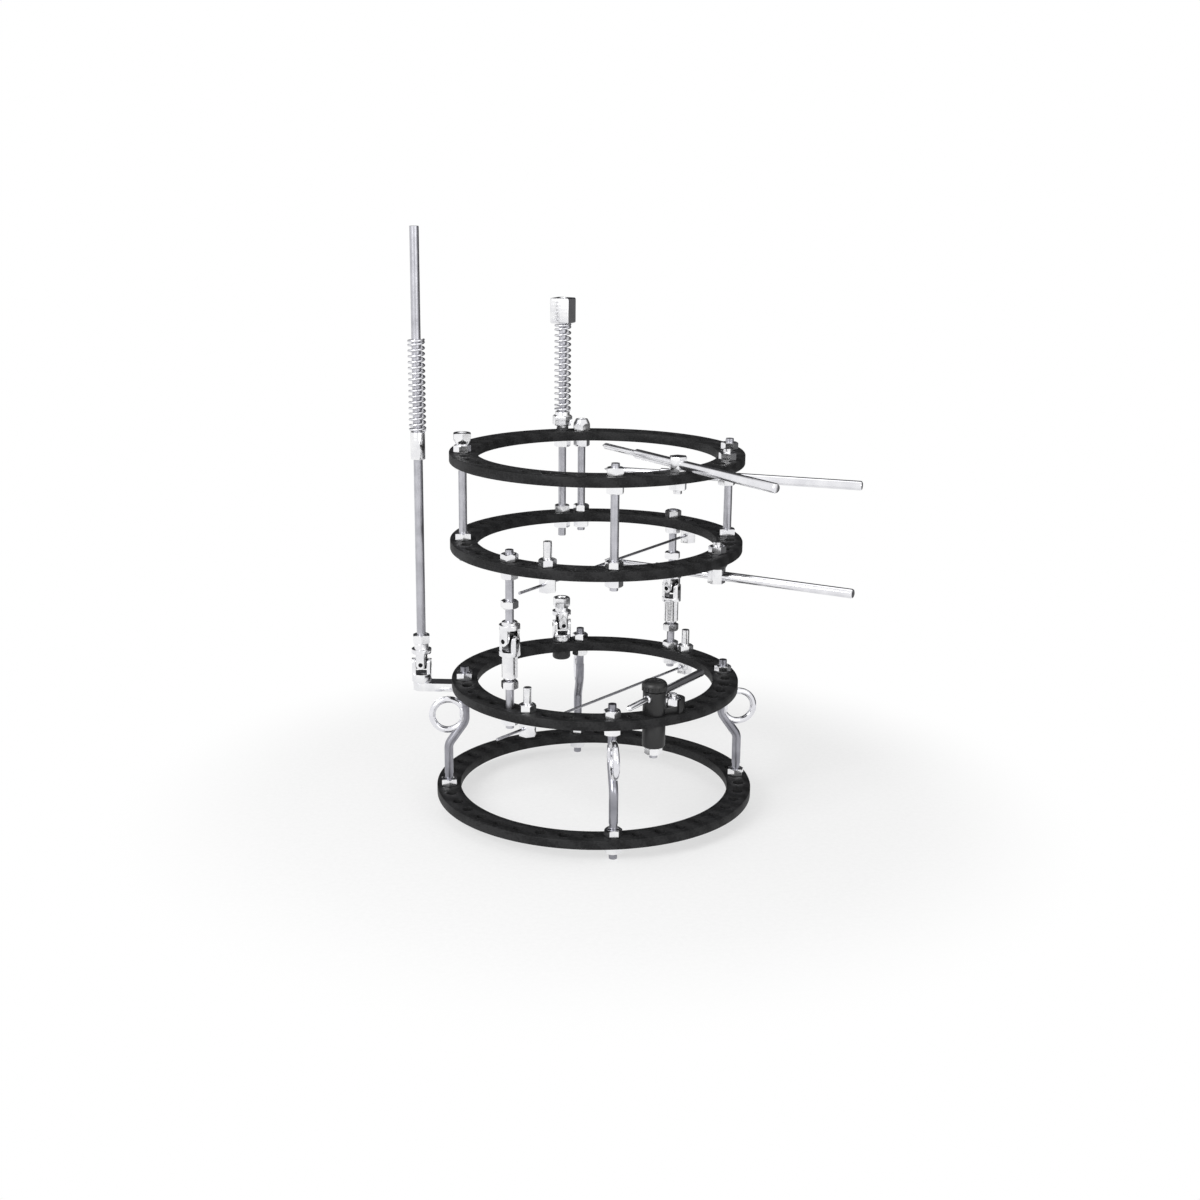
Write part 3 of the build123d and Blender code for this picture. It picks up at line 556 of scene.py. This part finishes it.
def separate(node):
    """The separate solids of a CAD node, in the order of their faces."""
    whole = merged_copy(node)
    seen = set()
    found = []
    for first in whole.faces:
        if first.index in seen:
            continue
        seen.add(first.index)
        island = [first]
        for face in island:
            for edge in face.edges:
                for other in edge.link_faces:
                    if other.index not in seen:
                        seen.add(other.index)
                        island.append(other)
        solid = bmesh.new()
        copies = {}
        for face in island:
            for vertex in face.verts:
                if vertex.index not in copies:
                    copies[vertex.index] = solid.verts.new(vertex.co)
            solid.faces.new([copies[vertex.index] for vertex in face.verts])
        found.append(solid)
    whole.free()
    return found


def points_of(vertices):
    return np.array([tuple(vertex.co) for vertex in vertices])


def upright_at(x, y, z):
    return Matrix.Translation((x, y, z))


def along(start, end):
    """Matrix that stands local Z on the line from start to end."""
    run = (Vector(end) - Vector(start)).normalized()
    return Matrix.Translation(start) @ run.to_track_quat("Z", "X").to_matrix().to_4x4()


def centre_of(box):
    return (box[0] + box[1]) / 2


def lathe(points):
    """Closed surface of revolution about Z from (radius, height) points, from the axis to the axis."""
    steps = 48
    angles = [math.tau * i / steps for i in range(steps)]
    turned = bmesh.new()
    rows = []
    for radius, height in points:
        spots = [(radius * math.cos(angle), radius * math.sin(angle), height) for angle in angles]
        rows.append([turned.verts.new(spot) for spot in (spots if radius else spots[:1])])
    for low, high in zip(rows, rows[1:]):
        for i in range(steps):
            j = (i + 1) % steps
            quad = [low[i % len(low)], low[j % len(low)], high[j % len(high)], high[i % len(high)]]
            turned.faces.new(list(dict.fromkeys(quad)))
    bmesh.ops.recalc_face_normals(turned, faces=turned.faces)
    return mesh_of(turned, "turned")


def moved(mesh, matrix):
    """Copy of a mesh in another place."""
    copy = mesh.copy()
    copy.transform(matrix)
    return copy


def thread_between(start, end, radius, material, pitch=rod_pitch, depth=rod_depth):
    """Threaded bar from start to end."""
    length = (Vector(end) - Vector(start)).length
    mesh = threads.grow(Length=length, Radius=radius, Pitch=pitch, Depth=depth, Steps=24,
                        Material=material)
    mesh.transform(along(start, end))
    return mesh


def bar_of(box):
    """Foot, head and radius of an upright bar from its box."""
    middle = centre_of(box)
    radius = (box[1].x - box[0].x) / 2
    return Vector((middle.x, middle.y, box[0].z)), Vector((middle.x, middle.y, box[1].z)), radius


# The rings

for name, width in ring_widths.items():
    low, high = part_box(name)
    outer_r = high.x
    plate = rings.grow(Inner_Radius=outer_r - width, Outer_Radius=outer_r, Thickness=high.z - low.z,
                       Hole_Radius=hole_r, Hole_Count=hole_count, Foot=low.z, Material=carbon)
    piece_from(f"{name}_plate", [rounded(plate, ring_edge, corner=60.0)], carbon, name, sharp=40.0)


# Nuts

def hex_nut(flats, height, bore, cone_r=None):
    """Nut with its corners turned off at both faces and a countersunk bore. It stands on the origin,
    and with a cone radius it narrows to that at its foot."""
    steps = 72
    side = math.tau / 6
    face_r = flats / 2 * nut_face_share
    slope = math.tan(math.radians(nut_corner_angle))
    foot_r, foot_slope = (cone_r, cone_nut_slope) if cone_r else (face_r, slope)
    nut = bmesh.new()
    rows = [[] for _ in range(8)]
    sink = nut_bore_sink
    for i in range(steps):
        angle = math.tau * i / steps
        away = (angle + side / 2) % side - side / 2
        wall_r = flats / 2 / math.cos(away)
        rise = max(wall_r - foot_r, 0) * foot_slope
        drop = max(wall_r - face_r, 0) * slope
        spots = [(bore, sink), (bore + sink, 0), (min(foot_r, wall_r), 0), (wall_r, rise),
                 (wall_r, height - drop), (min(face_r, wall_r), height), (bore + sink, height),
                 (bore, height - sink)]
        for row, (radius, z) in zip(rows, spots):
            row.append(nut.verts.new((radius * math.cos(angle), radius * math.sin(angle), z)))
    for low, high in zip(rows, rows[1:] + rows[:1]):
        for i in range(steps):
            j = (i + 1) % steps
            nut.faces.new((low[i], low[j], high[j], high[i]))
    bmesh.ops.recalc_face_normals(nut, faces=nut.faces)
    return mesh_of(nut, "nut")


def nut_group(name, node, seed):
    """All nuts of one CAD node, each on its own seat. A coned nut stands cone up on the ring, or
    cone down on another nut."""
    places = []
    coned = []
    cone_nut = hex_nut(cone_nut_flats, cone_nut_height, nut_bore_r, cone_nut_foot_r)
    for solid in separate(node):
        points = points_of(solid.verts)
        x, y, _ = (points.min(0) + points.max(0)) / 2
        foot, head = points[:, 2].min(), points[:, 2].max()
        solid.free()
        if abs(head - foot - cone_nut_height) < cone_nut_slack:
            upside_down = upright_at(x, y, head) @ Matrix.Rotation(math.pi, 4, "X")
            coned.append(moved(cone_nut, upside_down))
            continue
        places.append((x, y, foot))
        if head - foot > cone_nut_height:
            coned.append(moved(cone_nut, upright_at(x, y, foot + nut_height)))
    seats = bpy.data.meshes.new("seats")
    seats.from_pydata(places, [], [])
    pattern = bpy.data.objects.new("nut_pattern", hex_nut(nut_flats, nut_height, nut_bore_r))
    bpy.context.scene.collection.objects.link(pattern)
    mesh = nuts.grow(seats, Nut=pattern, Seed=seed, Material=nut_steel)
    bpy.data.objects.remove(pattern)
    piece_from(name, [mesh] + coned, nut_steel, node, sharp=25.0)


nut_nodes = ("ring_a_nuts", "ring_b_nuts", "ring_c_nuts", "base_ring_nuts", "hinge_lock_nuts")
for step, node in enumerate(nut_nodes):
    nut_group(f"{node}_turned", node, nut_seed + step)

low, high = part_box("strut_lock_nut")
spot = centre_of((low, high))
strut_nut = hex_nut(strut_nut_flats, high.z - low.z, strut_rod_r)
piece_from("strut_lock_nut_turned", [moved(strut_nut, upright_at(spot.x, spot.y, low.z))],
           nut_steel, "strut_lock_nut", sharp=25.0)


# Threaded rods and studs

upright_rods = [node for node in nodes
                if node.startswith(("connecting_rod", "hinge_rod", "hinge_stud"))]
for node in upright_rods + ["spring_rod", "strut_rod", "clamp_bolt"]:
    foot, head, radius = bar_of(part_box(node))
    bar = thread_between(foot, head, radius, rod_steel)
    piece_from(f"{node}_thread", [bar], rod_steel, node, sharp=25.0)


# Springs

def coil(name, node):
    """Spring in a node's place, with its foot and head."""
    foot, head, _ = bar_of(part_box(node))
    mesh = springs.grow(Height=head.z - foot.z, Mean_Radius=spring_mean_r[node],
                        Wire_Radius=spring_wire_r, Turns=spring_turns[node], Steps=28,
                        Material=spring_steel)
    mesh.transform(upright_at(*foot))
    return piece_from(name, [mesh], spring_steel, node, sharp=60.0), foot, head


cap_coil, coil_foot, coil_head = coil("cap_spring_coil", "cap_spring")
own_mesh(cap_coil)
coil("strut_spring_coil", "strut_spring")


# Offset rods: threaded ends, a bent plain middle and an eye of round bar welded on

def polyline(points, closed=False):
    """Mesh of edges through the points."""
    count = len(points)
    edges = [(i, (i + 1) % count) for i in range(count if closed else count - 1)]
    mesh = bpy.data.meshes.new("line")
    mesh.from_pydata([tuple(point) for point in points], edges, [])
    return mesh


def weld_bead(place):
    bead = bmesh.new()
    bmesh.ops.create_icosphere(bead, subdivisions=3, radius=1.0)
    bmesh.ops.scale(bead, verts=bead.verts, vec=weld_size)
    bmesh.ops.translate(bead, verts=bead.verts, vec=place)
    return mesh_of(bead)


def offset_rod(node, angle):
    """Rod and eye drawn beside +X and turned to their place."""
    low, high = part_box(node)
    top_r = (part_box("ring_c")[1].x * 2 - ring_widths["ring_c"]) / 2
    foot_r = (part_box("base_ring")[1].x * 2 - ring_widths["base_ring"]) / 2
    eye_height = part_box("ring_c")[0].z - eye_drop
    line = polyline([(top_r, 0, plain_top), (top_r, 0, bend_top),
                     (foot_r, 0, bend_foot), (foot_r, 0, plain_foot)])
    eye_r = eye_inner_r + eye_bar_r
    eye_centre = top_r + rod_r + eye_inner_r
    angles = [math.tau * i / eye_corners for i in range(eye_corners)]
    loop = polyline([(eye_centre - eye_r * math.cos(turned), 0,
                      eye_height + eye_r * math.sin(turned)) for turned in angles], closed=True)
    rod = [thread_between((top_r, 0, plain_top - rod_pitch), (top_r, 0, high.z), rod_r, rod_steel),
           thread_between((foot_r, 0, low.z), (foot_r, 0, plain_foot + rod_pitch), rod_r, rod_steel),
           bars.grow(line, Bar_Radius=rod_r, Bend_Radius=bend_r, Steps=32, Material=bar_steel)]
    eye = [bars.grow(loop, Bar_Radius=eye_bar_r, Bend_Radius=0.0, Steps=20, Material=eye_steel)]
    eye += [weld_bead((top_r + rod_r * weld_outwards, side * rod_r * weld_aside, eye_height))
            for side in (-1, 1)]
    turn = Matrix.Rotation(math.radians(angle), 4, "Z")
    piece_from(f"{node}_bent", [moved(mesh, turn) for mesh in rod], bar_steel, node)
    piece_from(f"{node}_eye", [moved(mesh, turn) for mesh in eye], eye_steel, node)


for node, angle in (("offset_rod_right", 0), ("offset_rod_back", 90), ("offset_rod_left", 180),
                    ("offset_rod_front", 270)):
    offset_rod(node, angle)


# Bolts: the head keeps its form, and the shank gets its thread

def bolts(node):
    """All bolts of one CAD node, the shank cut off just past the seat and wound anew."""
    meshes = []
    for solid in separate(node):
        points = points_of(solid.verts)
        low, high = points.min(0), points.max(0)
        x, y = (low[:2] + high[:2]) / 2
        from_axis = np.hypot(points[:, 0] - x, points[:, 1] - y)
        head = points[from_axis > rod_r * bolt_head_share][:, 2]
        upward = high[2] - head.max() > head.min() - low[2]
        seat, tip, way = (head.max(), high[2], 1) if upward else (head.min(), low[2], -1)
        cut = bmesh.ops.bisect_plane(solid, geom=solid.verts[:] + solid.edges[:] + solid.faces[:],
                                     plane_co=(0, 0, seat + way * shank_stub),
                                     plane_no=(0, 0, way), clear_outer=True)
        rim = [part for part in cut["geom_cut"] if isinstance(part, bmesh.types.BMEdge)]
        bmesh.ops.holes_fill(solid, edges=rim, sides=0)
        meshes.append(rounded(mesh_of(solid), small_edge))
        meshes.append(thread_between((x, y, seat), (x, y, tip), rod_r, rod_steel))
    piece_from(f"{node}_threaded", meshes, fork_steel, node)


for node in ("wire_bolts_b", "wire_bolts_c", "pin_grip_bolts", "button_bolts"):
    bolts(node)


# Half pins: trocar point, cutting thread on a thinner core, plain shank

def half_pin(node):
    """Pin with the axis, point and thread length of the CAD node. Its point is the narrower end."""
    points = points_of(nodes[node].data.vertices)
    run = np.linalg.svd(points - points.mean(0), full_matrices=False)[2][0]
    reach = points @ run
    ends = [points[reach < reach.min() + pin_end_slack], points[reach > reach.max() - pin_end_slack]]
    tip, tail = [end.mean(0) for end in sorted(ends, key=lambda end: np.ptp(end, axis=0).max())]
    length = np.linalg.norm(tail - tip)
    run = (tail - tip) / length
    from_tip = (points - tip) @ run
    from_axis = np.linalg.norm(points - tip - np.outer(from_tip, run), axis=1)
    pin_r = from_axis.max()
    thin = (from_axis < pin_r - pin_step) & (from_tip < length / 2)
    thread_length = from_tip[thin].max()
    tip_r = from_axis[thin].max()
    core_r = tip_r - pin_depth
    bar = lathe([(0, 0), (core_r, pin_point), (core_r, thread_length),
                 (pin_r, thread_length + pin_r - core_r), (pin_r, length - pin_end_bevel),
                 (pin_r - pin_end_round, length - pin_end_round), (pin_r - pin_end_bevel, length),
                 (0, length)])
    bar.transform(along(tip, tail))
    thread = thread_between(tip + run * pin_point, tip + run * thread_length, tip_r, pin_steel,
                            pin_pitch, pin_wound_depth)
    piece_from(f"{node}_ground", [bar, thread], pin_steel, node, sharp=40.0)


for node in [node for node in nodes if node.startswith("half_pin")]:
    half_pin(node)


# Forks and other machined pieces keep their CAD form, with rounded edges

def finish_copies(chosen, edge, material, ending):
    for node in chosen:
        form = rounded(mesh_of(merged_copy(node)), edge)
        piece_from(f"{node}_{ending}", [form], material, node)


finish_copies([node for node in nodes if "fork" in node], fork_edge, fork_steel, "turned")
finish_copies([node for node in nodes if "cross" in node], fork_edge, oxide, "blackened")
finish_copies(["spring_collar", "spring_cap", "strut_bar", "strut_sleeve"],
              small_edge, fork_steel, "machined")
finish_copies(["clamp_upper_block", "clamp_lower_block", "clamp_knob", "pin_washer",
               "back_joint_screw"], small_edge, anodised, "anodised")
finish_copies(["strut_set_screw"], set_screw_edge, oxide, "blackened")
finish_copies(["wire_b", "wire_c"], wire_edge, wire_steel, "drawn")


# Floor and light

def seen_rays(tree):
    """Two factors: 1 for camera rays, and 1 for glossy and transmission rays."""
    path = add_node(tree, "ShaderNodeLightPath").outputs
    mirrored = add_node(tree, "ShaderNodeMath", {"operation": "MAXIMUM"},
                        {0: path["Is Glossy Ray"], 1: path["Is Transmission Ray"]}).outputs["Value"]
    return path["Is Camera Ray"], mirrored


def white_board():
    """Matt white board. To the camera and in metal it is lifted all over and fades to plain white at
    its rim, so that only the object's shadow shows on it."""
    material, tree, shader, place = new_material("matt_white_board")
    grain = mottle(tree, place, 3 * mm)
    colour = colour_range(tree, grain, 0.3, 0.7, ("#f8f8f8", "#ffffff"))
    tree.links.new(colour, shader.inputs["Base Color"])
    shader.inputs["Roughness"].default_value = 0.9
    shader.inputs["Specular IOR Level"].default_value = 0.1
    flat = add_node(tree, "ShaderNodeVectorMath", {"operation": "MULTIPLY"}, {0: place},
                    {1: (1, 1, 0)}).outputs["Vector"]
    away = add_node(tree, "ShaderNodeVectorMath", {"operation": "LENGTH"}, {0: flat}).outputs["Value"]
    fade = add_node(tree, "ShaderNodeMapRange", {"interpolation_type": "SMOOTHSTEP"}, {"Value": away},
                    {"From Min": floor_fade[0], "From Max": floor_fade[1],
                     "To Min": floor_lift}).outputs["Result"]
    direct, mirrored = seen_rays(tree)
    either = add_node(tree, "ShaderNodeMath", {"operation": "MAXIMUM"}, {0: direct, 1: mirrored})
    lifted = add_node(tree, "ShaderNodeMath", {"operation": "MULTIPLY"},
                      {0: fade, 1: either.outputs["Value"]})
    glow = add_node(tree, "ShaderNodeEmission", values={"Color": linear("#ffffff"), "Strength": 1.0})
    both = add_node(tree, "ShaderNodeMixShader", links={
        0: lifted.outputs["Value"], 1: shader.outputs["BSDF"], 2: glow.outputs["Emission"]})
    tree.links.new(both.outputs["Shader"], tree.nodes["Material Output"].inputs["Surface"])
    return material


board = bmesh.new()
bmesh.ops.create_circle(board, cap_ends=True, segments=96, radius=floor_r)
bmesh.ops.translate(board, verts=board.verts, vec=(0, 0, cad_box[0][2] - floor_drop))
floor = bpy.data.objects.new("floor", mesh_of(board, "floor"))
floor.data.materials.append(white_board())
bpy.context.scene.collection.objects.link(floor)


def aimed(heading, elevation):
    """Unit vector at a heading and elevation in degrees."""
    level = math.cos(math.radians(elevation))
    return Vector((math.cos(math.radians(heading)) * level, math.sin(math.radians(heading)) * level,
                   math.sin(math.radians(elevation))))


def softbox(name, heading, elevation, size, power):
    """Round soft light that faces the object's middle."""
    lamp = bpy.data.lights.new(name, "AREA")
    lamp.shape = "DISK"
    lamp.size = size
    lamp.energy = power
    holder = bpy.data.objects.new(name, lamp)
    holder.location = object_middle + aimed(heading, elevation) * lamp_distance
    holder.rotation_euler = (-aimed(heading, elevation)).to_track_quat("-Z", "Y").to_euler()
    bpy.context.scene.collection.objects.link(holder)


softbox("key_softbox", camera_heading + 180 - 40, elevation=28, size=0.9, power=15)
softbox("fill_softbox", camera_heading + 180 + 35, elevation=15, size=0.9, power=4)
softbox("top_softbox", camera_heading, elevation=80, size=1.2, power=2.5)


def dark_card(tree, direction, turned, elevation, spread, soft):
    """1 inside a round patch of the studio, fading at its edge."""
    facing = add_node(tree, "ShaderNodeVectorMath", {"operation": "DOT_PRODUCT"}, {0: direction},
                      {1: aimed(camera_heading + turned, elevation)}).outputs["Value"]
    return add_node(tree, "ShaderNodeMapRange", {"interpolation_type": "SMOOTHSTEP"}, {"Value": facing},
                    {"From Min": math.cos(math.radians(spread + soft)),
                     "From Max": math.cos(math.radians(spread - soft))}).outputs["Result"]


def white_studio():
    """White all round to the camera. Glossy pieces mirror a grey card at the right, which darkens the
    right edges of round ones, and a dark card behind, which flat tops show. The even light that the
    studio gives is about half as bright."""
    world = bpy.data.worlds.new("white_studio")
    bpy.context.scene.world = world
    world.use_nodes = True
    sky = world.node_tree
    sky.nodes.clear()
    direction = add_node(sky, "ShaderNodeTexCoord").outputs["Generated"]
    right = add_node(sky, "ShaderNodeMath", {"operation": "MULTIPLY"},
                     {0: dark_card(sky, direction, *right_card)}, {1: right_card_share})
    cards = add_node(sky, "ShaderNodeMath", {"operation": "MAXIMUM"},
                     {0: right.outputs["Value"], 1: dark_card(sky, direction, *back_card)})
    mirrored_colour = colour_range(sky, cards.outputs["Value"], 0.0, 1.0, ("#ffffff", "#38383a"))
    direct, mirrored = seen_rays(sky)
    white = linear("#ffffff")
    plain = add_node(sky, "ShaderNodeBackground", values={"Color": white, "Strength": 1.0})
    studio = add_node(sky, "ShaderNodeBackground", None, {"Color": mirrored_colour},
                      {"Strength": 1.0})
    around = add_node(sky, "ShaderNodeBackground", values={"Color": white, "Strength": even_light})
    glossy = add_node(sky, "ShaderNodeMixShader", links={
        0: mirrored, 1: around.outputs["Background"], 2: studio.outputs["Background"]})
    whole = add_node(sky, "ShaderNodeMixShader", links={
        0: direct, 1: glossy.outputs["Shader"], 2: plain.outputs["Background"]})
    add_node(sky, "ShaderNodeOutputWorld", None, {"Surface": whole.outputs["Shader"]})


white_studio()


# Camera

lens = bpy.data.cameras.new("photo_camera")
lens.lens = camera_lens
lens.sensor_width = camera_sensor
camera = bpy.data.objects.new("photo_camera", lens)
roll = Matrix.Rotation(math.radians(camera_roll), 4, "Z")
turn = aimed(camera_heading, -camera_pitch).to_track_quat("-Z", "Y").to_matrix().to_4x4() @ roll
camera.matrix_world = Matrix.Translation(camera_place) @ turn
bpy.context.scene.collection.objects.link(camera)
bpy.context.scene.camera = camera
bpy.context.scene.view_settings.view_transform = "Standard"
